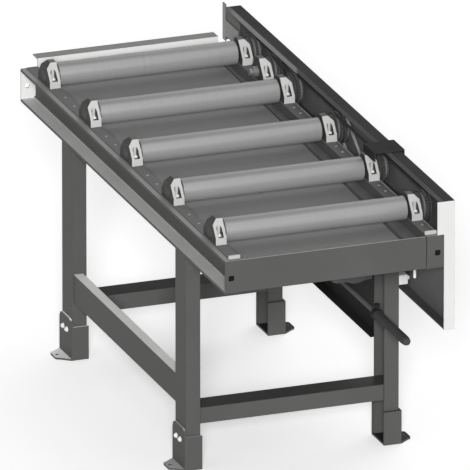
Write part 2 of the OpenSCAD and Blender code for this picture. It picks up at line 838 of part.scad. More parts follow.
module lever_rod() color(dark_grey) placed() {
    rod_y = grip_y + lever_d;
    difference() {
        union() {
            translate([lever_x, rod_y, lever_z]) bar_y(lever_d / 2, lever_pivot_y - rod_y);
            translate([lever_x - lever_boss_w / 2, lever_pivot_y, lever_z])
                bar_x(lever_boss_r, lever_boss_w);
        }
        translate([lever_x - lever_boss_w, lever_pivot_y, lever_z])
            bar_x(lever_pin_r + turn_gap, 2 * lever_boss_w);
    }
}

// Grip with a domed front end, and the collar with its thumb screw behind it
module lever_grip() color(black) placed() translate([lever_x, grip_y, lever_z]) {
    r = grip_d / 2;
    difference() {
        union() {
            translate([0, r / 2, 0]) bar_y(r, grip_l - r / 2);
            bar_y(r / 2, r);
            translate([0, r / 2, 0]) rotate([90, 0, 0]) rotate_extrude() intersection() {
                translate([r / 2, 0]) circle(r / 2);
                square([r, r / 2]);
            }
            translate([0, grip_l, 0]) bar_y(collar_d / 2, lever_collar_l);
            translate([0, grip_l + lever_collar_l / 2, 0]) cylinder(r = thumb_r, h = collar_d / 2 + thumb_l);
        }
        translate([0, lever_d, 0]) bar_y(lever_d / 2 + seat_gap, grip_l + lever_collar_l);
    }
}

left_rail();
right_rail();
mounting_bars();
front_plate();
front_end_plate();
rear_end_plates();
rear_cross_plate();
deck_sheet();
side_deck_sheet();
deck_joists();
leg_front_left();
leg_front_right();
leg_rear_left();
leg_rear_right();
front_stretcher();
rear_stretcher();
side_stretcher();
foot_front_left();
foot_front_right();
foot_rear_left();
foot_rear_right();
bolts_front_left();
bolts_front_right();
bolts_rear_left();
bolts_rear_right();
left_blocks();
right_blocks();
bearing_rings();
block_screws();
roller_tube_1();
roller_tube_2();
roller_tube_3();
roller_tube_4();
roller_tube_5();
roller_shaft_1();
roller_shaft_2();
roller_shaft_3();
roller_shaft_4();
roller_shaft_5();
pulleys_1();
pulleys_2();
pulleys_3();
pulleys_4();
pulleys_5();
jack_shaft();
jack_pulleys();
roller_belts();
motor_belt();
drive_panel();
gearbox();
motor();
motor_pulley();
guard();
guard_front_cap();
guard_rear_plate();
guard_saddle();
guard_standoffs();
lever_bracket();
lever_rod();
lever_grip();
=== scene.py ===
# %% [markdown]
# A short powered roller conveyor. Its welded and bolted frame, its shafts and its drive come
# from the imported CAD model. This notebook gives each surface a finish and remodels the pieces
# that turn, clamp or are gripped, because those carry the small shapes that the eye looks for:
# rounded rims, recessed end discs, screw heads and ribs. It also remodels the front plates, the
# deck, the mounting bars and the guard's standoffs, where the photograph and the model differ.

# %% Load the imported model
import json
import math

import bmesh
import bpy
import numpy as np
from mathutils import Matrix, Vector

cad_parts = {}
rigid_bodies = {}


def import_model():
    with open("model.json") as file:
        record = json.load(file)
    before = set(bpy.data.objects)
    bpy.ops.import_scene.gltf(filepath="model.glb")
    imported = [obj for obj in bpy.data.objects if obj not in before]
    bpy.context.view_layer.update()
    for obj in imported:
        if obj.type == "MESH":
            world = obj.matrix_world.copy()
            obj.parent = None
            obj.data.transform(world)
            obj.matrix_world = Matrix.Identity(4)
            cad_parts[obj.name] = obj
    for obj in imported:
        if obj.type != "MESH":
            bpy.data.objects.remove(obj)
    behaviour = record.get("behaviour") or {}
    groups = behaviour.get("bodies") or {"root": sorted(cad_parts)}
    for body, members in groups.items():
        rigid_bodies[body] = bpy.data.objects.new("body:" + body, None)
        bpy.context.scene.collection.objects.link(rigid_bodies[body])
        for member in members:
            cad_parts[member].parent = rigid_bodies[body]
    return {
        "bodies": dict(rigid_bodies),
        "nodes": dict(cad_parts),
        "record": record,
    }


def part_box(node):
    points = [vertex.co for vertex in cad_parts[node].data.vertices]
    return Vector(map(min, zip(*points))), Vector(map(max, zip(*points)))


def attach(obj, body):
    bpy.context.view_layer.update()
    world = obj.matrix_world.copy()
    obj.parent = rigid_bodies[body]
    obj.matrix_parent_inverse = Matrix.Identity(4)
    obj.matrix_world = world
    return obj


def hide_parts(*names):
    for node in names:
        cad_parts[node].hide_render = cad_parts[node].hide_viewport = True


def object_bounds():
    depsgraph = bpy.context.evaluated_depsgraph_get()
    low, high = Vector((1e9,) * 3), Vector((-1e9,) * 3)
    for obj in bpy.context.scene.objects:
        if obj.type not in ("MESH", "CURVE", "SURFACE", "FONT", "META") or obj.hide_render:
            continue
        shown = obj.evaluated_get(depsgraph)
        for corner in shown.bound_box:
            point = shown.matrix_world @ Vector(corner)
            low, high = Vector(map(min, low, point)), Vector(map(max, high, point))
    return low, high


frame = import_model()
cad_low, cad_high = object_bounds()
print("CAD box from", [round(c, 3) for c in cad_low], "to", [round(c, 3) for c in cad_high])

# %% [markdown]
# The photograph has no vanishing point: parallel edges stay parallel. A very long lens comes
# closest to that. Views from other angles stand as far off as the lens asks, and see no further
# than 100 times the object's radius, so the lens can't be much longer than this one.
# The frame's front left corner on the floor is the point that the picture is pinned by.

# %% The camera
MM = 0.001
PIXELS = 470
PIXELS_PER_METRE = 406.7
AZIMUTH = -20.04
ELEVATION = 20.04
CORNER_PIXEL = (225.5, 507.7)
LENS = 1600
SENSOR = 36

left_rail_low = np.array(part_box("left_rail")[0])
front_plate_low = np.array(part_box("front_plate")[0])
corner = np.array([left_rail_low[0], front_plate_low[1], 0.0])


def view_axes(azimuth, elevation):
    """Right, up and backward unit vectors of a camera that looks from azimuth and elevation."""
    a, e = math.radians(azimuth), math.radians(elevation)
    back = np.array([math.sin(a) * math.cos(e), -math.cos(a) * math.cos(e), math.sin(e)])
    right = np.array([math.cos(a), math.sin(a), 0.0])
    return right, np.cross(back, right), back


def add_camera():
    right, up, back = view_axes(AZIMUTH, ELEVATION)
    across = (PIXELS / 2 - CORNER_PIXEL[0]) / PIXELS_PER_METRE
    above = (CORNER_PIXEL[1] - PIXELS / 2) / PIXELS_PER_METRE
    middle = (np.array(cad_low) + np.array(cad_high)) / 2
    depth = (middle - corner) @ back
    distance = PIXELS / PIXELS_PER_METRE * LENS / SENSOR
    data = bpy.data.cameras.new("camera")
    data.lens, data.sensor_width = LENS, SENSOR
    data.clip_start, data.clip_end = 1.0, 2 * distance
    camera = bpy.data.objects.new("camera", data)
    camera.location = corner + right * across + up * above + back * (depth + distance)
    turn = np.eye(4)
    turn[:3, 0], turn[:3, 1], turn[:3, 2] = right, up, back
    camera.rotation_mode = "QUATERNION"
    from_axes = bpy_matrix(turn)
    camera.rotation_quaternion = from_axes.to_quaternion()
    bpy.context.scene.collection.objects.link(camera)
    bpy.context.scene.camera = camera
    return distance


def bpy_matrix(rows):
    """A Blender matrix from a 4 by 4 array."""
    return type(frame["bodies"]["frame"].matrix_world)(rows.tolist())


print("camera distance", round(add_camera(), 2), "m")

# %% [markdown]
# The picture was made in a white studio, with hardly a shadow. The main light stands almost
# where the viewer does, so that its shadows fall behind the things that cast them, and it is
# a little broad, so that their edges are soft. A weaker one behind keeps the far side readable.

# %% Lamps, world and floor
WORLD_STRENGTH = 0.30
FLOOR_SIZE = 16.0
FLOOR_DROP = 0.0005
FLOOR_LIFT = 0.4
FLOOR_WHITE = 0.92


def add_sun(name, azimuth, elevation, level, softness):
    """A distant lamp that gives a white face turned to it the brightness level. softness is the
    angle across it, in degrees."""
    data = bpy.data.lights.new(name, "SUN")
    data.energy, data.angle = level * math.pi, math.radians(softness)
    lamp = bpy.data.objects.new(name, data)
    back = view_axes(azimuth, elevation)[2]
    lamp.location = (back * 4).tolist()
    lamp.rotation_mode = "QUATERNION"
    lamp.rotation_quaternion = type(cad_low)((-back).tolist()).to_track_quat("-Z", "Y")
    bpy.context.scene.collection.objects.link(lamp)


def ray_mask(tree, *kinds):
    """1 for rays of any of the kinds, such as Is Camera Ray, and 0 for the others."""
    rays = tree.nodes.new("ShaderNodeLightPath")
    mask = rays.outputs[kinds[0]]
    for kind in kinds[1:]:
        either = tree.nodes.new("ShaderNodeMath")
        either.operation = "MAXIMUM"
        tree.links.new(mask, either.inputs[0])
        tree.links.new(rays.outputs[kind], either.inputs[1])
        mask = either.outputs[0]
    return mask


def add_world(strength):
    """Plain light for the object, and full white behind it for the camera and for gloss."""
    world = bpy.data.worlds.new("studio")
    bpy.context.scene.world = world
    world.use_nodes = True
    tree = world.node_tree
    shader = tree.nodes["Background"]
    shader.inputs["Color"].default_value = (1, 1, 1, 1)
    level = tree.nodes.new("ShaderNodeMapRange")
    level.inputs["To Min"].default_value = strength
    level.inputs["To Max"].default_value = 1.0
    seen = ray_mask(tree, "Is Camera Ray", "Is Glossy Ray", "Is Transmission Ray")
    tree.links.new(seen, level.inputs["Value"])
    tree.links.new(level.outputs[0], shader.inputs["Strength"])


def add_floor():
    half = FLOOR_SIZE / 2
    mesh = bpy.data.meshes.new("floor")
    mesh.from_pydata(
        [(-half, -half, -FLOOR_DROP), (half, -half, -FLOOR_DROP),
         (half, half, -FLOOR_DROP), (-half, half, -FLOOR_DROP)], [], [(0, 1, 2, 3)])
    floor = bpy.data.objects.new("floor", mesh)
    bpy.context.scene.collection.objects.link(floor)
    material = bpy.data.materials.new("floor")
    material.use_nodes = True
    tree = material.node_tree
    shader = tree.nodes["Principled BSDF"]
    shader.inputs["Base Color"].default_value = (FLOOR_WHITE, FLOOR_WHITE, FLOOR_WHITE, 1)
    shader.inputs["Roughness"].default_value = 1.0
    shader.inputs["Specular IOR Level"].default_value = 0.0
    shader.inputs["Emission Color"].default_value = (1, 1, 1, 1)
    lift = tree.nodes.new("ShaderNodeMath")
    lift.operation = "MULTIPLY"
    lift.inputs[1].default_value = FLOOR_LIFT
    seen = ray_mask(tree, "Is Camera Ray", "Is Glossy Ray", "Is Transmission Ray")
    tree.links.new(seen, lift.inputs[0])
    tree.links.new(lift.outputs[0], shader.inputs["Emission Strength"])
    mesh.materials.append(material)


add_world(WORLD_STRENGTH)
add_sun("main_light", -20.6, 21, 0.80, 10)
add_sun("far_light", 140, 42, 0.20, 50)
add_floor()
bpy.context.scene.view_settings.view_transform = "Standard"
print("world strength", WORLD_STRENGTH)

# %% [markdown]
# Every finish here shares a few effects. Sheet and castings have slightly rounded edges that
# catch the light, and their colour goes lighter along them, a painted highlight; on the frame it
# goes darker, a painted shade. Paint has a fine orange peel and broad cloudy patches, and ground
# steel has fine rings. A tone for the way a face looks paints light and shade. Each effect is a
# node group, built once, that puts out only masks and normals.

# %% Helpers for node groups and materials
def new_group(name, inputs, outputs):
    """An empty shader group with named sockets, and its input and output nodes."""
    group = bpy.data.node_groups.new(name, "ShaderNodeTree")
    for label, value in inputs:
        socket = group.interface.new_socket(label, in_out="INPUT", socket_type="NodeSocketFloat")
        socket.default_value = value
    for label, kind in outputs:
        group.interface.new_socket(label, in_out="OUTPUT", socket_type=kind)
    return group, group.nodes.new("NodeGroupInput"), group.nodes.new("NodeGroupOutput")


def noise(tree, vector, scale, detail):
    """A noise texture on a vector socket, with scale either a number or a socket."""
    node = tree.nodes.new("ShaderNodeTexNoise")
    node.inputs["Detail"].default_value = detail
    tree.links.new(vector, node.inputs["Vector"])
    if isinstance(scale, (int, float)):
        node.inputs["Scale"].default_value = scale
    else:
        tree.links.new(scale, node.inputs["Scale"])
    return node.outputs["Fac"]


def remap(tree, value, low, high, to_low, to_high):
    """Value from the range low..high to the range to_low..to_high, clamped."""
    node = tree.nodes.new("ShaderNodeMapRange")
    for label, number in zip(("From Min", "From Max", "To Min", "To Max"),
                             (low, high, to_low, to_high)):
        node.inputs[label].default_value = number
    tree.links.new(value, node.inputs["Value"])
    return node.outputs["Result"]


def object_point(tree):
    return tree.nodes.new("ShaderNodeTexCoord").outputs["Object"]


# %% Edge, paint and turning effects
def edge_group():
    """Normal of edges rounded by Radius, and a mask that is 1 on them: 1 - N . N_rounded."""
    group, start, end = new_group(
        "rounded_edges", [("Radius", 0.001)],
        [("Normal", "NodeSocketVector"), ("Edge", "NodeSocketFloat")])
    bevel = group.nodes.new("ShaderNodeBevel")
    bevel.samples = 4
    group.links.new(start.outputs["Radius"], bevel.inputs["Radius"])
    flat = group.nodes.new("ShaderNodeNewGeometry").outputs["Normal"]
    dot = group.nodes.new("ShaderNodeVectorMath")
    dot.operation = "DOT_PRODUCT"
    group.links.new(flat, dot.inputs[0])
    group.links.new(bevel.outputs["Normal"], dot.inputs[1])
    group.links.new(bevel.outputs["Normal"], end.inputs["Normal"])
    group.links.new(remap(group, dot.outputs["Value"], 0.98, 0.80, 0.0, 1.0), end.inputs["Edge"])
    return group


def skin_group():
    """Fine peel height from a noise of Grain cells a metre, and clouds of Cloud cells a metre."""
    group, start, end = new_group(
        "paint_skin", [("Grain", 700.0), ("Cloud", 7.0)],
        [("Height", "NodeSocketFloat"), ("Clouds", "NodeSocketFloat"), ("Specks", "NodeSocketFloat")])
    point = object_point(group)
    fine = noise(group, point, start.outputs["Grain"], 2.0)
    group.links.new(fine, end.inputs["Height"])
    broad = noise(group, point, start.outputs["Cloud"], 3.0)
    group.links.new(remap(group, broad, 0.3, 0.7, 0.0, 1.0), end.inputs["Clouds"])
    group.links.new(remap(group, fine, 0.62, 0.72, 0.0, 1.0), end.inputs["Specks"])
    return group


def turning_group():
    """Rings round the X axis: a noise of the point stretched to (Rings x, 3 y, 3 z)."""
    group, start, end = new_group(
        "turning_rings", [("Rings", 900.0)],
        [("Height", "NodeSocketFloat"), ("Streaks", "NodeSocketFloat")])
    parts = group.nodes.new("ShaderNodeSeparateXYZ")
    group.links.new(object_point(group), parts.inputs[0])
    along = group.nodes.new("ShaderNodeMath")
    along.operation = "MULTIPLY"
    group.links.new(parts.outputs["X"], along.inputs[0])
    group.links.new(start.outputs["Rings"], along.inputs[1])
    stretched = group.nodes.new("ShaderNodeCombineXYZ")
    group.links.new(along.outputs[0], stretched.inputs["X"])
    for label in ("Y", "Z"):
        gentle = group.nodes.new("ShaderNodeMath")
        gentle.operation = "MULTIPLY"
        gentle.inputs[1].default_value = 3.0
        group.links.new(parts.outputs[label], gentle.inputs[0])
        group.links.new(gentle.outputs[0], stretched.inputs[label])
    rings = noise(group, stretched.outputs[0], 1.0, 4.0)
    group.links.new(rings, end.inputs["Height"])
    group.links.new(remap(group, rings, 0.35, 0.65, 0.0, 1.0), end.inputs["Streaks"])
    return group


def painted_facing_shade_group():
    """Painted light and shade by the way a face looks: a tone that scales the colour as light would.
    Side mixes in while the normal's |x| goes from 0.35 to 0.65, Top while its z goes from 0.72 to
    0.92, and Below while -z does. Elsewhere it is Front."""
    group, start, end = new_group(
        "painted_facing_shade", [("Front", 1.0), ("Side", 1.0), ("Top", 1.0), ("Below", 1.0)],
        [("Tone", "NodeSocketFloat")])
    parts = group.nodes.new("ShaderNodeSeparateXYZ")
    group.links.new(group.nodes.new("ShaderNodeTexCoord").outputs["Normal"], parts.inputs[0])
    sideways = group.nodes.new("ShaderNodeMath")
    sideways.operation = "ABSOLUTE"
    group.links.new(parts.outputs["X"], sideways.inputs[0])
    tone = start.outputs["Front"]
    for value, low, high, label in ((sideways.outputs[0], 0.35, 0.65, "Side"),
                                    (parts.outputs["Z"], 0.72, 0.92, "Top"),
                                    (parts.outputs["Z"], -0.72, -0.92, "Below")):
        mix = group.nodes.new("ShaderNodeMix")
        group.links.new(remap(group, value, low, high, 0.0, 1.0), mix.inputs["Factor"])
        group.links.new(tone, mix.inputs["A"])
        group.links.new(start.outputs[label], mix.inputs["B"])
        tone = mix.outputs["Result"]
    group.links.new(tone, end.inputs["Tone"])
    return group


GROUPS = {"edges": edge_group(), "skin": skin_group(), "rings": turning_group(),
          "facing": painted_facing_shade_group()}
print("shared effects:", ", ".join(GROUPS))


# %% [markdown]
# A finish is one Principled shader. Its colour is the paint's or metal's own, darkened or
# lightened a little in clouds. The photograph is shaded face by face, so many finishes scale
# that by a tone for the way a face looks, a painted light and shade. On the edges the colour
# goes towards a lighter one, a painted highlight; on the frame it goes towards a darker one, a
# painted shade. The normal is the rounded edge's, with the grain laid over it by a Bump node.

# %% One finish, from its shared effects
def place(tree, key, **values):
    node = tree.nodes.new("ShaderNodeGroup")
    node.node_tree = GROUPS[key]
    for label, number in values.items():
        node.inputs[label.replace("_", " ")].default_value = number
    return node


def blend_colour(tree, first, second, share):
    """first x (1 - share) + second x share, where first is a colour or a socket."""
    node = tree.nodes.new("ShaderNodeMix")
    node.data_type = "RGBA"
    if isinstance(first, tuple):
        node.inputs[6].default_value = (*first, 1)
    else:
        tree.links.new(first, node.inputs[6])
    node.inputs[7].default_value = (*second, 1)
    tree.links.new(share, node.inputs[0])
    return node.outputs[2]


def scaled(colour, factor):
    return tuple(min(1.0, c * factor) for c in colour)


def finish(name, colour, roughness, metallic=0.0, edge=None, edge_share=0.5, cloud=0.08,
           grain=700.0, peel=0.00004, radius=0.0008, rings=False, specular=0.03, painted_shade_tones=None):
    """A painted, cast, moulded or turned surface. The face tones are painted light and shade for
    front, side, top and below faces. A top of four numbers is two heights and the tones at them,
    with a straight change between: painted light and shade that change with height."""
    material = bpy.data.materials.new(name)
    material.use_nodes = True
    tree = material.node_tree
    shader = tree.nodes["Principled BSDF"]
    shader.inputs["Metallic"].default_value = metallic
    shader.inputs["Specular IOR Level"].default_value = specular
    skin = place(tree, "skin", Grain=grain)
    edges = place(tree, "edges", Radius=radius)
    clouds_and_painted_shade = blend_colour(tree, scaled(colour, 1 - cloud), scaled(colour, 1 + cloud),
                           skin.outputs["Clouds"])
    # Painted light and shade: the colour is scaled by a tone for the way each face looks.
    if painted_shade_tones:
        front, side, top, below = painted_shade_tones
        banded = isinstance(top, tuple)
        facing = place(tree, "facing", Front=front, Side=side, Top=1.0 if banded else top,
                       Below=below)
        if banded:
            parts = tree.nodes.new("ShaderNodeSeparateXYZ")
            tree.links.new(object_point(tree), parts.inputs[0])
            tree.links.new(remap(tree, parts.outputs["Z"], *top), facing.inputs["Top"])
        painted_shade_scale = tree.nodes.new("ShaderNodeVectorMath")
        painted_shade_scale.operation = "SCALE"
        tree.links.new(clouds_and_painted_shade, painted_shade_scale.inputs[0])
        tree.links.new(facing.outputs["Tone"], painted_shade_scale.inputs["Scale"])
        clouds_and_painted_shade = painted_shade_scale.outputs[0]
    # Along the edges the colour goes towards the edge colour, by default 1.7 times lighter: a painted
    # highlight. A darker edge colour, as on the frame, is painted shade.
    painted_edge_highlight_and_shade = tree.nodes.new("ShaderNodeMath")
    painted_edge_highlight_and_shade.operation = "MULTIPLY"
    painted_edge_highlight_and_shade.inputs[1].default_value = edge_share
    tree.links.new(edges.outputs["Edge"], painted_edge_highlight_and_shade.inputs[0])
    tint = blend_colour(tree, clouds_and_painted_shade, edge or scaled(colour, 1.7), painted_edge_highlight_and_shade.outputs[0])
    rough = remap(tree, skin.outputs["Clouds"], 0.0, 1.0, roughness - 0.05, roughness + 0.05)
    height = skin.outputs["Height"]
    if rings:
        marks = place(tree, "rings")
        height = marks.outputs["Height"]
        rough = remap(tree, marks.outputs["Streaks"], 0.0, 1.0, roughness - 0.08, roughness + 0.08)
    bump = tree.nodes.new("ShaderNodeBump")
    bump.inputs["Strength"].default_value = 1.0
    bump.inputs["Distance"].default_value = peel
    tree.links.new(height, bump.inputs["Height"])
    tree.links.new(edges.outputs["Normal"], bump.inputs["Normal"])
    tree.links.new(tint, shader.inputs["Base Color"])
    tree.links.new(rough, shader.inputs["Roughness"])
    tree.links.new(bump.outputs["Normal"], shader.inputs["Normal"])
    return material


# %% The finishes of this conveyor
FRAME_GREY = (0.104, 0.104, 0.102)
# Painted shade: the frame's edges and creases darken towards this colour.
PAINTED_EDGE_SHADE = (0.03, 0.03, 0.03)


def frame_finish(name, top, radius=0.0013):
    """The frame's paint. top is the tone of faces that look up, painted light above 1 and painted
    shade below it, which differs between members.
    """
    return finish(name, FRAME_GREY, 0.5, cloud=0.05, edge=PAINTED_EDGE_SHADE, edge_share=0.6,
                  radius=radius, painted_shade_tones=(1, 1.05, top, 0.5))


# Face tones here are painted light and shade. The frame's upward faces are painted lighter than its
# fronts; the pale paint's and the tabs' upward faces, and most sides and undersides, are painted
# darker. An edge colour lighter than the finish is a painted highlight, a darker one painted shade.
FINISHES = {
    "frame_paint": frame_finish("frame_paint", 2.9),
    # The guard paint's sides are painted lighter, and its upward faces lighter low down and darker high
    # up: painted light and shade by face and height.
    "dark_paint": finish("dark_paint", (0.055, 0.054, 0.055), 0.5,
                         painted_shade_tones=(1, 2.6, (0.45, 0.65, 1.5, 0.38), 0.5)),
    "deck_steel": finish("deck_paint", (0.250, 0.250, 0.248), 0.55, cloud=0.03),
    "pale_paint": finish("pale_paint", (0.72, 0.72, 0.71), 0.6, cloud=0.02, edge_share=0.0,
                         painted_shade_tones=(1, 0.6, 0.12, 0.5)),
    # The blocks' sides, tops and undersides are painted darker than their fronts: painted shade. Their
    # light edge colour is a painted highlight.
    "cast_block": finish("cast_block", (0.60, 0.60, 0.59), 0.5, grain=420.0, peel=0.00012,
                         radius=0.0012, edge=(0.75, 0.75, 0.74), edge_share=0.2,
                         painted_shade_tones=(1, 0.11, 0.24, 0.4)),
    "cover_cast": finish("cover_cast", (0.082, 0.082, 0.081), 0.5, grain=420.0, peel=0.00012),
    # The tubes' tops and undersides are painted darker than their fronts: painted shade round each
    # tube.
    "roller_steel": finish("ground_tube", (0.36, 0.36, 0.36), 0.34, metallic=0.15, rings=True,
                           peel=0.00001, cloud=0.02, specular=0.3, painted_shade_tones=(1, 1, 0.55, 0.8)),
    "bright_steel": finish("bright_steel", (0.50, 0.50, 0.49), 0.35, metallic=0.7, rings=True,
                           peel=0.00001, radius=0.0004),
    # Zinc is light, and this one is near white so that the block screws' domes read as bright dots:
    # partly painted highlight.
    "zinc_plate": finish("zinc_plate", (0.84, 0.84, 0.83), 0.4, specular=0.4, grain=1500.0,
                         peel=0.00002, radius=0.0004),
    "groove_steel": finish("groove_steel", (0.20, 0.20, 0.20), 0.45, metallic=0.2, rings=True,
                           peel=0.00001, radius=0.0004),
    "black_steel": finish("blackened_steel", (0.022, 0.022, 0.023), 0.5, radius=0.0005,
                          edge=(0.05, 0.05, 0.05)),
    # The black rims' edges go towards a light grey: a painted highlight along the teeth.
    "pressed_rim": finish("pressed_rim", (0.065, 0.065, 0.066), 0.45, radius=0.0008,
                          edge=(0.45, 0.45, 0.45), edge_share=0.7),
    "belt_rubber": finish("belt_rubber", (0.045, 0.045, 0.045), 0.7, radius=0.0004),
    "motor_belt_grey": finish("grey_belt", (0.30, 0.30, 0.295), 0.65, radius=0.0004),
    "cast_dark": finish("painted_casting", (0.050, 0.050, 0.051), 0.5, grain=380.0, peel=0.0002,
                        radius=0.0015),
    "grip_rubber": finish("grip_rubber", (0.068, 0.067, 0.068), 0.62, grain=1500.0, peel=0.00006),
    "end_plate_paint": frame_finish("end_plate_paint", 5.0, 0.0006),
    "bar_paint": finish("bar_paint", (0.155, 0.155, 0.154), 0.5, cloud=0.05, edge=(0.04, 0.04, 0.04)),
    "side_deck_paint": finish("side_deck_paint", (0.150, 0.150, 0.149), 0.55, cloud=0.03),
    # Light grey of the bar screws, and of the strip along the right bar that is a painted highlight.
    "strip_highlight_and_screw_paint": finish("strip_highlight_and_screw_paint", (0.33, 0.33, 0.325), 0.5, cloud=0.04, radius=0.0005),
    # A brighter white than the pale paint, against the shade that the standoffs stand in: partly
    # painted light.
    "standoff_paint": finish("standoff_paint", (0.88, 0.88, 0.87), 0.6, cloud=0.02, edge_share=0.0),
    "tab_paint": finish("tab_paint", (0.50, 0.50, 0.495), 0.55, cloud=0.02,
                        painted_shade_tones=(1, 0.5, 0.5, 0.5)),
    "plug_black": finish("plug_black", (0.012, 0.012, 0.012), 0.6, grain=900.0, peel=0.00006),
}
# Copies of the frame paint: the first has its upward faces painted darker, a painted shade, and the
# second has them painted much lighter, a painted light.
PAINTED_SHADE_FRAME = frame_finish("frame_paint_painted_shade", 0.21)
PAINTED_LIGHT_FRAME = frame_finish("frame_paint_painted_light", 8.8)
# A lighter copy of the pale paint, with lighter tops: painted light.
REAR_PLATE = finish("rear_plate_paint", (0.84, 0.84, 0.83), 0.6, cloud=0.02, edge_share=0.0,
                    painted_shade_tones=(1, 0.6, 0.33, 0.5))
# Copies of the paints for single parts, each with its own painted light and shade by face and along its
# edges.
OF_NODE = {
    # The left rail's upward faces are painted lighter than its fronts, and lighter still low down:
    # painted light in the rail's channel, where shade falls.
    "left_rail": frame_finish("left_rail_paint", (0.58, 0.62, 5.6, 2.9)),
    "front_stretcher": frame_finish("front_stretcher_paint", 0.62),
    "rear_stretcher": PAINTED_SHADE_FRAME, "foot_front_right": PAINTED_SHADE_FRAME,
    "foot_rear_right": PAINTED_SHADE_FRAME, "right_rail": PAINTED_SHADE_FRAME, "side_stretcher": PAINTED_LIGHT_FRAME,
    "foot_rear_left": PAINTED_LIGHT_FRAME, "foot_front_left": frame_finish("front_foot_paint", 4.0),
    "jack_shaft": finish("jack_steel", (0.24, 0.24, 0.24), 0.45, metallic=0.4, rings=True,
                         peel=0.00001, radius=0.0004),
    "lever_rod": finish("lever_paint", (0.130, 0.130, 0.130), 0.5, cloud=0.05),
    "drive_panel": finish("panel_paint", (0.026, 0.026, 0.027), 0.5, painted_shade_tones=(1, 1, 1, 0.5)),
    "gearbox": finish("gearbox_casting", (0.130, 0.130, 0.131), 0.5, grain=380.0, peel=0.0002,
                      radius=0.0015, edge=(0.05, 0.05, 0.05)),
    "guard_saddle": finish("saddle_paint", (0.045, 0.045, 0.046), 0.5, painted_shade_tones=(1, 0.6, 0.32, 0.5)),
    # The rear cover's fronts are painted much darker than the pale paint's: painted shade.
    "guard_rear_plate": finish("rear_cover_paint", (0.72, 0.72, 0.71), 0.6, cloud=0.02,
                               edge_share=0.0, painted_shade_tones=(0.20, 0.5, 0.12, 0.5)),
    "rear_cross_plate": REAR_PLATE, "rear_end_plates": REAR_PLATE,
}

for part in frame["record"]["subparts"]:
    mesh = frame["nodes"][part["node"]].data
    mesh.materials.clear()
    mesh.materials.append(OF_NODE.get(part["node"], FINISHES[part["material_slot"]]))

# %% [markdown]
# The remodelled pieces are surfaces worked out as whole arrays. Most are turned: an outline in
# the half plane (distance along the axis, radius) is swept round the axis. Corners are rounded
# first, because a real turned edge is never sharp.

# %% Grids, outlines and turned surfaces
def grid_faces(rows, columns, close_rows, close_columns):
    """Quads (i, j), (i, j+1), (i+1, j+1), (i+1, j) of a grid numbered row by row."""
    i = np.arange(rows if close_rows else rows - 1)
    j = np.arange(columns if close_columns else columns - 1)
    a, b = np.meshgrid(i, j, indexing="ij")
    c, d = (a + 1) % rows, (b + 1) % columns
    return np.stack([a * columns + b, a * columns + d, c * columns + d, c * columns + b],
                    -1).reshape(-1, 4)


def soften(outline, radius, steps=4):
    """Rounds each corner P of a closed outline with (1-s)^2 A + 2s(1-s) P + s^2 B, where A and B
    lie on its two sides, a radius from P or 0.45 of the side if that is shorter."""
    p = np.array(outline, float)
    before, after = np.roll(p, 1, 0) - p, np.roll(p, -1, 0) - p
    long_before = np.linalg.norm(before, axis=1, keepdims=True)
    long_after = np.linalg.norm(after, axis=1, keepdims=True)
    a = p + before / long_before * np.minimum(radius, 0.45 * long_before)
    b = p + after / long_after * np.minimum(radius, 0.45 * long_after)
    s = np.linspace(0, 1, steps)[None, :, None]
    curve = (1 - s) ** 2 * a[:, None] + 2 * s * (1 - s) * p[:, None] + s ** 2 * b[:, None]
    return curve.reshape(-1, 2)


def axes_of(axis):
    """The axis and two unit vectors square to it, as arrays."""
    axis = np.array(axis, float)
    e1 = np.array([0.0, 0.0, 1.0]) if abs(axis[2]) < 0.5 else np.array([1.0, 0.0, 0.0])
    return axis, e1, np.cross(axis, e1)


def turned(outline, origin, axis, segments=96, teeth=None):
    """Closed outline (t, r) swept round an axis: origin + t axis + r (cos a e1 + sin a e2).
    teeth is (count, depth, above): where r passes above, it loses depth (1 + cos count a) / 2."""
    axis, e1, e2 = axes_of(axis)
    angle = np.arange(segments) * 2 * math.pi / segments
    ring = np.cos(angle)[:, None] * e1 + np.sin(angle)[:, None] * e2
    t, r = outline[:, 0], outline[:, 1][:, None] * np.ones(segments)
    if teeth:
        count, depth, above = teeth
        r = r - (r > above) * depth * (0.5 + 0.5 * np.cos(count * angle))
    points = np.array(origin) + t[:, None, None] * axis + r[:, :, None] * ring[None]
    return points.reshape(-1, 3), grid_faces(len(outline), segments, True, True)


def reach(angle, sides):
    """Radius of a row of half width 1: a circle for 0 sides, the polygon
    1 / cos((a mod 2 pi / n) - pi / n) for n sides, and for a negative number the rounded square
    (|cos a|^p + |sin a|^p)^(-1 / p) of the power p = -sides."""
    if sides > 0:
        return 1 / np.cos(angle % (2 * math.pi / sides) - math.pi / sides)
    if sides < 0:
        return (np.abs(np.cos(angle)) ** -sides + np.abs(np.sin(angle)) ** -sides) ** (1 / sides)
    return np.ones(len(angle))


def spun(rows, origin, axis, segments=36):
    """Solid of rows (t, r, sides) from pole to pole, with r half the row's width across flats.
    The first and last rows are poles, one point each, joined by fans."""
    axis, e1, e2 = axes_of(axis)
    angle = np.arange(segments) * 2 * math.pi / segments
    ring = np.cos(angle)[:, None] * e1 + np.sin(angle)[:, None] * e2
    inner = [(t, r * reach(angle, n)) for t, r, n in rows[1:-1]]
    sides = [np.array(origin) + t * axis + r[:, None] * ring for t, r in inner]
    poles = [np.array(origin) + rows[k][0] * axis for k in (0, -1)]
    points = np.concatenate(sides + [np.array(poles)])
    faces = grid_faces(len(inner), segments, False, True).tolist()
    j = np.arange(segments)
    last, pole = (len(inner) - 1) * segments, len(inner) * segments
    faces += np.stack([j, np.full(segments, pole), (j + 1) % segments], 1).tolist()
    faces += np.stack([last + j, last + (j + 1) % segments, np.full(segments, pole + 1)], 1).tolist()
    return points, faces


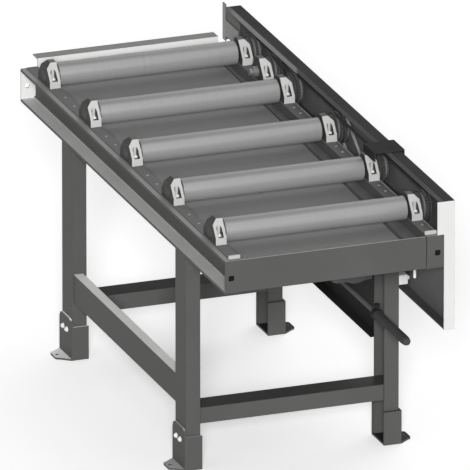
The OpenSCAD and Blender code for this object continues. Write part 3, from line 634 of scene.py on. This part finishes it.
def lofted(first, last):
    """Straight surfaces between two closed outlines of as many points, shut by two polygons."""
    count = len(first)
    faces = grid_faces(2, count, False, True).tolist()
    faces += [list(range(count)), list(range(count, 2 * count))]
    return np.concatenate([first, last]), faces


def section(flat, y):
    """Outline points (x, z) as points of space at one y."""
    flat = np.asarray(flat, float)
    return np.stack([flat[:, 0], np.full(len(flat), y), flat[:, 1]], 1)


def slab(low, high, corner_radius):
    """A block whose long edges along Y are softened, carried from low to high."""
    flat = soften([(low[0], low[2]), (high[0], low[2]), (high[0], high[2]), (low[0], high[2])],
                  corner_radius)
    return lofted(section(flat, low[1]), section(flat, high[1]))


def joined(shells):
    """Several (points, faces) as one, with the faces' numbers moved along."""
    starts = np.cumsum([0] + [len(points) for points, _ in shells])
    points = np.concatenate([points for points, _ in shells])
    faces = [[corner_number + int(start) for corner_number in face]
             for (_, own), start in zip(shells, starts) for face in own]
    return points, faces


def make_piece(name, shell, look, body, stands_for=(), sharp=35):
    """A mesh object from (points, faces), smooth but for edges over the sharp angle."""
    points, faces = shell
    mesh = bpy.data.meshes.new(name)
    mesh.from_pydata(np.asarray(points).tolist(), [], [list(f) for f in faces])
    outward(mesh)
    mesh.shade_smooth()
    mesh.set_sharp_from_angle(angle=math.radians(sharp))
    mesh.materials.append(FINISHES[look])
    piece = bpy.data.objects.new(name, mesh)
    bpy.context.scene.collection.objects.link(piece)
    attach(piece, body)
    if stands_for:
        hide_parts(*stands_for)
    return piece


def outward(mesh):
    """Turns every face of a closed mesh to point outwards."""
    work = bmesh.new()
    work.from_mesh(mesh)
    bmesh.ops.recalc_face_normals(work, faces=work.faces)
    work.to_mesh(mesh)
    work.free()


def middle_of(node):
    low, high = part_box(node)
    return np.array(low), np.array(high), (np.array(low) + np.array(high)) / 2


# %% [markdown]
# A roller is a ground tube with a disc pressed into each end. The disc lies a few millimetres
# inside the tube, which leaves the thin bright rim that shows beside each bearing block.

# %% The rollers
ROLLERS = range(1, 6)
TUBE_WALL = 4 * MM
DISC_IN = 3 * MM
HUB_RADIUS = 15 * MM
HUB_OUT = 2 * MM
SEAT_GAP = 0.03 * MM
TUBE_ROUND = 0.8 * MM


def roller_outline(length, radius, bore):
    inner = radius - TUBE_WALL
    half = [(0.0, radius), (0.0, inner), (DISC_IN, inner), (DISC_IN, HUB_RADIUS),
            (DISC_IN - HUB_OUT, HUB_RADIUS), (DISC_IN - HUB_OUT, bore)]
    other = [(length - t, r) for t, r in reversed(half)]
    return soften(half + other, TUBE_ROUND)


for number in ROLLERS:
    low, high, middle = middle_of(f"roller_tube_{number}")
    shaft_low, shaft_high, _ = middle_of(f"roller_shaft_{number}")
    bore = (shaft_high[2] - shaft_low[2]) / 2 + SEAT_GAP
    outline = roller_outline(high[0] - low[0], (high[2] - low[2]) / 2, bore)
    make_piece(f"ground_roller_{number}", turned(outline, (low[0], middle[1], middle[2]), (1, 0, 0)),
               "roller_steel", f"roller_{number}", [f"roller_tube_{number}"])
print("roller length", round((high[0] - low[0]) / MM), "mm")

# %% [markdown]
# Each drive pulley is a steel body with pressed black rims that keep the belt in its groove.
# The rims' edges are toothed, which gives the dark rings in the photograph their rough outline.
# The body and the rims are two pieces, since they have two finishes.

# %% The pulleys
ROW = 10 * MM
ROW_STEP = 12 * MM
FLANGE = 1.5 * MM
GROOVE_RADIUS = 34 * MM
FLANGE_RADIUS = 41 * MM
WEB_RADIUS = 19 * MM
WEB_EDGE = 31 * MM
WEB_IN = 0.7 * MM
SPACER_RADIUS = 13 * MM
TEETH = (32, 2.2 * MM, 38 * MM)
RIM_SEGMENTS = 192
PULLEY_ROUND = 0.4 * MM


def pulley_shells(rows, first_x, hub_x, bore, centre):
    """(body, rims) of a pulley with so many rows, the first at first_x."""
    start = first_x - hub_x
    body = [(0.0, bore), (0.0, SPACER_RADIUS)]
    origin = (hub_x, centre[1], centre[2])
    rims = []
    for row in range(rows):
        left = start + row * ROW_STEP
        body += [(left, SPACER_RADIUS), (left, WEB_RADIUS), (left + WEB_IN, WEB_RADIUS),
                 (left + WEB_IN, WEB_EDGE), (left, WEB_EDGE), (left, GROOVE_RADIUS),
                 (left + ROW, GROOVE_RADIUS), (left + ROW, WEB_RADIUS)]
        for edge in (left, left + ROW - FLANGE):
            ring = [(edge - WEB_IN / 2, GROOVE_RADIUS - WEB_IN), (edge - WEB_IN / 2, FLANGE_RADIUS),
                    (edge + FLANGE, FLANGE_RADIUS), (edge + FLANGE, GROOVE_RADIUS - WEB_IN)]
            rims.append(turned(soften(ring, PULLEY_ROUND, 3), origin, (1, 0, 0), RIM_SEGMENTS,
                               TEETH))
    body += [(start + (rows - 1) * ROW_STEP + ROW, bore)]
    return turned(soften(body, PULLEY_ROUND), origin, (1, 0, 0)), joined(rims)


def add_pulleys(label, node, shaft_node, body, first_x):
    low, high, middle = middle_of(node)
    shaft_low, shaft_high, _ = middle_of(shaft_node)
    bore = (shaft_high[2] - shaft_low[2]) / 2 + SEAT_GAP
    rows = round((high[0] - first_x - ROW) / ROW_STEP) + 1
    core, rims = pulley_shells(rows, first_x, low[0], bore, middle)
    make_piece(f"pulley_body_{label}", core, "groove_steel", body, [node])
    make_piece(f"pulley_rims_{label}", rims, "pressed_rim", body)


BELT_ROOM = 1.8 * MM
first_row = middle_of("roller_belts")[0][0] - BELT_ROOM
for number in ROLLERS:
    add_pulleys(number, f"pulleys_{number}", f"roller_shaft_{number}", f"roller_{number}",
                first_row)
add_pulleys("jack", "jack_pulleys", "roller_shaft_1", "jack", first_row)
print("first belt row at", round(first_row / MM, 1), "mm")

# %% [markdown]
# Zinc-plated button-head screws hold the blocks down. Their small domes, near white, are the
# bright dots at the foot of each pocket: partly the zinc's light colour, partly a painted
# highlight. A list of rows from pole to pole gives shank, head and hexagonal socket as a single
# closed solid.

# %% The block screws
BLOCK_FOOT = 18 * MM
POCKET_OUT = 30 * MM
HEAD = (5.4 * MM, 2.4 * MM, 3.6 * MM)
SCREW_RADIUS = 4 * MM
SOCKET = (1.8 * MM, 1.6 * MM)
SOCKET_ROWS = 4
RIM = 0.7 * MM


def button_head(base, radius, skirt, dome):
    """Rows of a straight skirt, a dome t = base + skirt + dome sin a, r = radius cos a, and the
    socket."""
    angle = np.linspace(0.1, 1.15, 7)
    rows = [(base, radius - RIM / 2, 0), (base + RIM / 2, radius, 0), (base + skirt, radius, 0)]
    rows += [(base + skirt + dome * math.sin(a), radius * math.cos(a), 0) for a in angle]
    top, (wide, deep) = rows[-1][0], SOCKET
    return rows + [(top, wide * 1.2, 0), (top, wide, 6), (top - deep, wide, 6), (top - deep, 0, 0)]


def cap_screw(seat, axis, length):
    """Rows from the shank's end, a length under the seat, to the head's socket."""
    shank = [(-length, 0, 0), (-length, SCREW_RADIUS - RIM, 0), (RIM - length, SCREW_RADIUS, 0),
             (0, SCREW_RADIUS, 0)]
    return spun(shank + button_head(0, *HEAD), seat, axis)


bar_low, bar_high, _ = middle_of("mounting_bars")
seat_z = bar_high[2] + BLOCK_FOOT
left_x = middle_of("left_blocks")[2][0]
right_x = middle_of("right_blocks")[2][0]
roller_y = [middle_of(f"roller_shaft_{number}")[2][1] for number in ROLLERS]
jack_y = middle_of("jack_shaft")[2][1]
places = [(x, y) for y in roller_y for x in (left_x, right_x)] + [(right_x, jack_y)]
screws = [cap_screw((x, y + out, seat_z), (0, 0, 1), seat_z - bar_low[2])
          for x, y in places for out in (-POCKET_OUT, POCKET_OUT)]
make_piece("cap_screws", joined(screws), "zinc_plate", "frame", ["block_screws"])
print(len(screws), "cap screws")

# %% [markdown]
# On the left the shafts end inside the blocks, and a pressed cover closes each bore, so that
# the block's side looks plain. The cover is a shallow dome with a flat rim.

# %% The bearing covers
COVER_RADIUS = 15.5 * MM
COVER_OUT = 3.8 * MM


def cover_rows(radius, out):
    """A straight rim for a fifth of the height, a bevel, a narrow step and then a dome:
    t = out (0.3 + 0.7 sqrt(1 - (r / 0.85 radius)^2))."""
    angle = np.linspace(0, math.pi / 2, 6)
    dome = [(out * 0.3 + out * 0.7 * math.sin(a), radius * 0.85 * math.cos(a), 0) for a in angle]
    return [(0, 0, 0), (0, radius, 0), (out * 0.2, radius, 0), (out * 0.3, radius * 0.9, 0)] + dome


block_side = middle_of("left_blocks")[0][0]
axis_z = middle_of("roller_shaft_1")[2][2]
covers = [spun(cover_rows(COVER_RADIUS, COVER_OUT), (block_side, y, axis_z), (-1, 0, 0))
          for y in roller_y]
make_piece("bearing_covers", joined(covers), "cover_cast", "frame")
print(len(covers), "bearing covers")

# %% [markdown]
# Two bolts clamp each foot to its leg. From outside in, each has a domed head with a socket, a
# washer, the shank and a hexagonal nut. They ride with the foot, which slides down on the leg.

# %% The foot bolts
BOLT_OUT = 14 * MM
WASHER = (7 * MM, 1.2 * MM)
BOLT_HEAD = (6 * MM, 1.8 * MM, 4 * MM)
NUT = (6.4 * MM, 5.6 * MM)
HEAD_ROOM = 7 * MM


def foot_bolt(face, axis, length):
    """Rows from the nut's end to the socket: nut, shank, washer and button head."""
    nut, washer = NUT, WASHER
    rows = [(-length, 0, 0), (-length, SCREW_RADIUS, 0), (-length + RIM, SCREW_RADIUS, 0),
            (-length + RIM, nut[0], 6), (-length + RIM + nut[1], nut[0], 6),
            (-length + RIM + nut[1], SCREW_RADIUS, 0), (0, SCREW_RADIUS, 0), (0, washer[0], 0),
            (washer[1], washer[0], 0)]
    return spun(rows + button_head(washer[1], *BOLT_HEAD), face, axis)


for corner_name in ("front_left", "front_right", "rear_left", "rear_right"):
    low, high, middle = middle_of(f"bolts_{corner_name}")
    outward_x = -1 if corner_name.endswith("left") else 1
    head_x, nut_x = (low[0], high[0]) if outward_x < 0 else (high[0], low[0])
    face_x = head_x - outward_x * HEAD_ROOM
    bolts = [foot_bolt((face_x, middle[1] + out, middle[2]), (outward_x, 0, 0),
                       abs(face_x - nut_x)) for out in (-BOLT_OUT, BOLT_OUT)]
    make_piece(f"foot_bolts_{corner_name}", joined(bolts), "zinc_plate",
               f"adjust_{corner_name}", [f"bolts_{corner_name}"])
print("foot bolts reach", round(abs(face_x - nut_x) / MM, 1), "mm inwards")

# %% [markdown]
# The lever ends in a moulded grip with shallow ribs and a rounded, slightly tapered end. A clamp
# collar with a thumb screw holds it on the rod. Grip and collar are spun round the rod's axis.

# %% The lever's grip and collar
GRIP_RADIUS = 12 * MM
GRIP_LENGTH = 205 * MM
COLLAR = (14 * MM, 16 * MM)
RIB_PITCH = 7 * MM
RIB_DEPTH = 0.7 * MM
TAPER = 26 * MM
THUMB = (7 * MM, 8 * MM)
THUMB_SHANK = 4 * MM
KNURL = 14


def grip_rows(radius, length):
    """r = radius (0.62 + 0.38 sqrt(1 - (1 - t / TAPER)^2)) in the taper, and radius less
    RIB_DEPTH (1 - cos(2 pi (t - TAPER) / RIB_PITCH)) / 2 behind it, up to the last pitch."""
    t = np.linspace(0, length, 150)
    near = np.clip(1 - t / TAPER, 0, 1)
    rib = (t > TAPER) * (t < length - RIB_PITCH) * RIB_DEPTH
    r = radius * (0.62 + 0.38 * np.sqrt(1 - near ** 2))
    r = r - rib * (1 - np.cos(2 * math.pi * (t - TAPER) / RIB_PITCH)) / 2
    rows = [(0, 0, 0), (0, radius * 0.5, 0)]
    return rows + [(a + RIM, b, 0) for a, b in zip(t, r)] + [(length + RIM, 0, 0)]


def thumb_screw(seat, out):
    """Shank, then a head whose edge is a knurl of KNURL sides."""
    radius, height = THUMB
    rows = [(0, 0, 0), (0, THUMB_SHANK, 0), (out - height, THUMB_SHANK, 0),
            (out - height, radius - RIM, KNURL), (out - height + RIM, radius, KNURL),
            (out - RIM, radius, KNURL), (out, radius - RIM, KNURL), (out, 0, 0)]
    return spun(rows, seat, (0, 0, 1), 4 * KNURL)


low, high, _ = middle_of("lever_grip")
lever_x = (low[0] + high[0]) / 2
lever_z = low[2] + COLLAR[0]
make_piece("ribbed_grip", spun(grip_rows(GRIP_RADIUS, GRIP_LENGTH - RIM), (lever_x, low[1], lever_z),
                               (0, 1, 0), 40), "grip_rubber", "hand_lever", ["lever_grip"], 50)
collar_y = low[1] + GRIP_LENGTH
collar = spun([(0, 0, 0), (0, COLLAR[0] - RIM, 0), (RIM, COLLAR[0], 0), (COLLAR[1] - RIM, COLLAR[0], 0),
               (COLLAR[1], COLLAR[0] - RIM, 0), (COLLAR[1], 0, 0)], (lever_x, collar_y, lever_z),
              (0, 1, 0))
thumb = thumb_screw((lever_x, collar_y + COLLAR[1] / 2, lever_z), high[2] - lever_z)
make_piece("clamp_collar", joined([collar, thumb]), "black_steel", "hand_lever")
print("grip from", round(low[1] / MM), "to", round(collar_y / MM), "mm")

# %% [markdown]
# Two flat plates close the frame's front. Each has a square hole with round corners, shut by a
# black moulded plug. Two pale tabs stand up behind the plates, one at the front end of each
# mounting bar, and stop the goods. A plate is a ring of surfaces round its hole, with its edges
# broken.

# %% The front plates, plugs and tabs
PLATE_EDGE = 0.8 * MM
HOLE_HALF = 7 * MM
HOLE_POWER = 5
HOLE_HEIGHT = 599 * MM
HOLE_FROM_SIDE = 16 * MM
PLUG_IN = 0.8 * MM
LEAST = 1e-9
TAB = (30 * MM, 3 * MM, 10 * MM)
TAB_STARTS = (10 * MM, 517 * MM)
TAB_ROUND = 1.2 * MM


def pierced_plate(low, high, hole, steps=24):
    """Rings round the hole's middle (x, z). Along each angle a one point lies on the hole,
    HOLE_HALF reach(a) from the middle, and one on the border, where the ray from the middle
    leaves the rectangle. The flats stop PLATE_EDGE short of both, so that each edge is broken."""
    middle = np.array(hole)
    flat_low, flat_high = np.array([low[0], low[2]]), np.array([high[0], high[2]])
    corners = np.array([[flat_low[0], flat_low[1]], [flat_high[0], flat_low[1]],
                        [flat_high[0], flat_high[1]], [flat_low[0], flat_high[1]]]) - middle
    angle = np.concatenate([np.arctan2(corners[:, 1], corners[:, 0]),
                            np.linspace(-math.pi, math.pi, 4 * steps, endpoint=False)])
    angle = np.unique(np.round(angle, 6))
    ray = np.stack([np.cos(angle), np.sin(angle)], 1)
    slope = np.where(np.abs(ray) < LEAST, LEAST, ray)
    limits = np.where(slope > 0, flat_high - middle, flat_low - middle) / slope
    border = middle + ray * limits.min(1)[:, None]
    inset = np.clip(border, flat_low + PLATE_EDGE, flat_high - PLATE_EDGE)
    bore = middle + ray * (HOLE_HALF * reach(angle, -HOLE_POWER))[:, None]
    wide = middle + ray * ((HOLE_HALF + PLATE_EDGE) * reach(angle, -HOLE_POWER))[:, None]
    front, back = low[1], high[1]
    rings = [(wide, front), (inset, front), (border, front + PLATE_EDGE),
             (border, back - PLATE_EDGE), (inset, back), (wide, back),
             (bore, back - PLATE_EDGE), (bore, front + PLATE_EDGE)]
    points = np.concatenate([np.stack([ring[:, 0], np.full(len(angle), y), ring[:, 1]], 1)
                             for ring, y in rings])
    return points, grid_faces(len(rings), len(angle), True, True)


plate_low, plate_high, _ = middle_of("front_plate")
end_low, end_high, _ = middle_of("front_end_plate")
plate_thick = plate_high[1] - plate_low[1]
front_hole = (plate_low[0] + HOLE_FROM_SIDE, HOLE_HEIGHT)
end_hole = (end_high[0] - HOLE_FROM_SIDE, HOLE_HEIGHT)
tabs = [slab((corner[0] + x, plate_high[1], bar_high[2]),
             (corner[0] + x + TAB[0], plate_high[1] + TAB[1], bar_high[2] + TAB[2]),
             TAB_ROUND)
        for x in TAB_STARTS]
make_piece("front_cover_plate",
           pierced_plate(plate_low, np.array([plate_high[0], plate_high[1], end_high[2]]), front_hole),
           "end_plate_paint", "frame", ["front_plate"])
make_piece("end_cover_plate", pierced_plate(end_low, end_high, end_hole), "end_plate_paint",
           "frame", ["front_end_plate"])
plug_rows = [(PLUG_IN, 0, 0), (PLUG_IN, HOLE_HALF - RIM, -HOLE_POWER),
             (PLUG_IN + RIM, HOLE_HALF - SEAT_GAP, -HOLE_POWER),
             (plate_thick, HOLE_HALF - SEAT_GAP, -HOLE_POWER), (plate_thick, 0, 0)]
plugs = [spun(plug_rows, (x, plate_low[1], z), (0, 1, 0), 48)
         for x, z in (front_hole, end_hole)]
make_piece("hole_plugs", joined(plugs), "plug_black", "frame")
make_piece("stop_tabs", joined(tabs), "tab_paint", "frame")
print("tabs stand", round(TAB[2] / MM), "mm over the bars")

# %% [markdown]
# Two folded sheets make the deck, with a lip down each side. Their seam isn't square to the
# frame: it drifts outwards to the rear, so that the side sheet narrows to almost nothing. Flat
# drilled bars carry the bearing blocks, held down by small screws between them. A light strip
# along the right one's outer edge is a painted highlight, standing for that edge lit from above.
# All are folded or rolled profiles carried along Y.

# %% The deck, the bars and their screws
SEAM_LEFT = (474 * MM, 508 * MM)
SEAM_WIDE = 13 * MM
SIDE_BACK_WIDE = 7.5 * MM
SHEET = 3 * MM
LIP = 25 * MM
BEND = 1 * MM
BAR_WIDE = 30 * MM
STRIP = (3 * MM, 3.3 * MM)
STRIP_GAP = 0.3 * MM
BAR_ROUND = 0.8 * MM
STRIP_ROUND = 0.6 * MM
BAR_SCREW = (3.6 * MM, 0.6 * MM, 1.6 * MM)
BAR_SCREW_SHANK = (3 * MM, 2 * MM)
BAR_SCREW_TOP = 2.2 * MM
LEFT_HOLES = 33.5 * MM
RIGHT_HOLES = (77 * MM, 121 * MM)


def sheet(front, back, y_front, y_back, top):
    """A channel (a, b) open below, its outline softened at each bend, from front to back."""
    rings = []
    for (a, b), y in ((front, y_front), (back, y_back)):
        flat = [(a, top - LIP), (a, top), (b, top), (b, top - LIP), (b - SHEET, top - LIP),
                (b - SHEET, top - SHEET), (a + SHEET, top - SHEET), (a + SHEET, top - LIP)]
        rings.append(section(soften(flat, BEND), y))
    return lofted(*rings)


deck_low, deck_high, _ = middle_of("deck_sheet")
side_low, side_high, _ = middle_of("side_deck_sheet")
seam_front, seam_back = (corner[0] + x for x in SEAM_LEFT)
make_piece("deck_cover", sheet((deck_low[0], seam_front), (deck_low[0], seam_back), deck_low[1],
                               deck_high[1], deck_high[2]), "deck_steel", "frame", ["deck_sheet"])
side_front = (seam_front + SEAM_WIDE, side_high[0])
side_back = (side_high[0] - SIDE_BACK_WIDE, side_high[0])
make_piece("side_deck_cover", sheet(side_front, side_back, side_low[1], side_high[1], side_high[2]),
           "side_deck_paint", "frame", ["side_deck_sheet"])
right_edge = bar_high[0]
bars = [slab(bar_low, (bar_low[0] + BAR_WIDE, bar_high[1], bar_high[2]), BAR_ROUND),
        slab((right_edge - BAR_WIDE, bar_low[1], bar_low[2]), bar_high, BAR_ROUND)]
make_piece("drilled_bars", joined(bars), "bar_paint", "frame", ["mounting_bars"])
# A painted highlight: this light strip stands for a lit edge along the right bar.
strip = slab((right_edge + STRIP_GAP, bar_low[1], bar_high[2] - STRIP[1]),
             (right_edge + STRIP_GAP + STRIP[0], bar_high[1], bar_high[2]), STRIP_ROUND)
make_piece("bar_edge_highlight_strip", strip, "strip_highlight_and_screw_paint", "frame")
holes = [(left_x, (a + b) / 2 + out) for a, b in zip(roller_y, roller_y[1:])
         for out in (-LEFT_HOLES, LEFT_HOLES)]
holes += [(right_x, y - ahead) for y in roller_y[:4] for ahead in RIGHT_HOLES]
shank, deep = BAR_SCREW_SHANK
plain_dome = button_head(0, *BAR_SCREW)[:-SOCKET_ROWS]
screw_rows = [(-deep, 0, 0), (-deep, shank, 0), (0, shank, 0)] + plain_dome + [(BAR_SCREW_TOP, 0, 0)]
bar_screws = [spun(screw_rows, (x, y, bar_high[2]), (0, 0, 1), 24) for x, y in holes]
make_piece("bar_screws", joined(bar_screws), "strip_highlight_and_screw_paint", "frame")
print(len(bar_screws), "bar screws")

# %% [markdown]
# The guard is held off the legs by white moulded blocks, each with a pin that reaches its wall,
# and off the right rail by two rods. A white stud hangs under that rail, near the front.

# %% The standoffs
BLOCK = (23 * MM, 24 * MM, 24 * MM)
BLOCK_ROUND = 1.5 * MM
BLOCK_HEIGHT = 412 * MM
LEG_STANDOFFS = (297.5 * MM, 1170.5 * MM)
PIN_RADIUS = 5 * MM
RAIL_STANDOFF = (110 * MM, 8 * MM)
RAIL_WEB_OUTSIDE = 527 * MM
STUD = (3.5 * MM, 67 * MM, 7 * MM, 6 * MM)
STUD_PLACE = (538 * MM, 130 * MM)
FLATS_SHARE = 0.87

stand_low, stand_high, _ = middle_of("guard_standoffs")
wall_x = stand_high[0]
leg_face = middle_of("leg_front_right")[1][0]
block_wide, block_long, block_tall = BLOCK
pin_long = wall_x - leg_face - block_wide
pin = [(0, 0, 0), (0, PIN_RADIUS, 0), (pin_long, PIN_RADIUS, 0), (pin_long, 0, 0)]
shells = []
for behind in LEG_STANDOFFS:
    y = corner[1] + behind
    shells.append(slab((leg_face, y, BLOCK_HEIGHT),
                       (leg_face + block_wide, y + block_long, BLOCK_HEIGHT + block_tall), BLOCK_ROUND))
    shells.append(spun(pin, (leg_face + block_wide, y + block_long / 2, BLOCK_HEIGHT + block_tall / 2),
                       (1, 0, 0)))

rail_web = corner[0] + RAIL_WEB_OUTSIDE
frame_long = middle_of("right_rail")[1][1] - corner[1]
from_end, radius = RAIL_STANDOFF
long = wall_x - rail_web
rod = [(0, 0, 0), (0, radius - RIM, 0), (RIM, radius, 0), (long - RIM, radius, 0),
       (long, radius - RIM, 0), (long, 0, 0)]
for behind in (from_end, frame_long - from_end):
    shells.append(spun(rod, (rail_web, corner[1] + behind, HOLE_HEIGHT), (1, 0, 0)))

radius, tall, nut_radius, nut_tall = STUD
flats = nut_radius * FLATS_SHARE
stud = [(0, 0, 0), (0, radius - RIM / 2, 0), (RIM / 2, radius, 0), (tall - nut_tall, radius, 0),
        (tall - nut_tall, flats, 6), (tall, flats, 6), (tall, 0, 0)]
stud_x, stud_y = STUD_PLACE
stud_place = (corner[0] + stud_x, corner[1] + stud_y, middle_of("right_rail")[0][2] - tall)
shells.append(spun(stud, stud_place, (0, 0, 1)))
make_piece("white_standoffs", joined(shells), "standoff_paint", "frame", ["guard_standoffs"])
print("standoffs from", (stand_low / MM).round(1), "to", (stand_high / MM).round(1))
